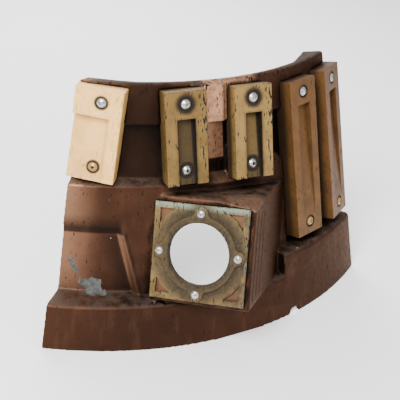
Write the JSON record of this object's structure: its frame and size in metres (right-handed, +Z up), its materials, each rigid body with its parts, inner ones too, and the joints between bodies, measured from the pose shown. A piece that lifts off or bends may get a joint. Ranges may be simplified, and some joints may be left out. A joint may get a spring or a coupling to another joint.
{
  "type": "curved casing panel",
  "caption": "Curved panel of a conical casing on a base flange, with screwed-on slotted blocks under the rim and a square bezel around a round porthole.",
  "frame": {"origin": "centre of the bounding box at floor level", "axes": "+Z up, -Y is the outer (convex) front of the panel, +X to the right as seen from the front"},
  "size_m": [0.5698, 0.2552, 0.368],
  "materials": {
    "casing": "satin copper paint over a moulded skin",
    "block_bright": "bright pale gold paint",
    "block_olive": "aged brass paint with black wear",
    "slat_bronze": "bronze brass paint",
    "steel": "bare steel",
    "screw_brassed": "brass-painted steel",
    "zinc": "zinc-plated steel",
    "bezel": "aged brass paint"
  },
  "bodies": {
    "root": {"casing": "casing", "block_1": "block_bright", "block_2": "block_olive", "block_3": "block_olive", "slat_4": "slat_bronze", "slat_5": "slat_bronze", "screws_long": "steel", "screws_short": "steel", "screw_short_brassed": "screw_brassed", "screws_long_brassed": "screw_brassed", "block_washers": "zinc", "block_nuts": "zinc", "bezel_plate": "bezel", "bezel_ring": "bezel", "bezel_screws": "steel", "bezel_washers": "zinc", "bezel_nuts": "zinc"}
  },
  "joints": []
}
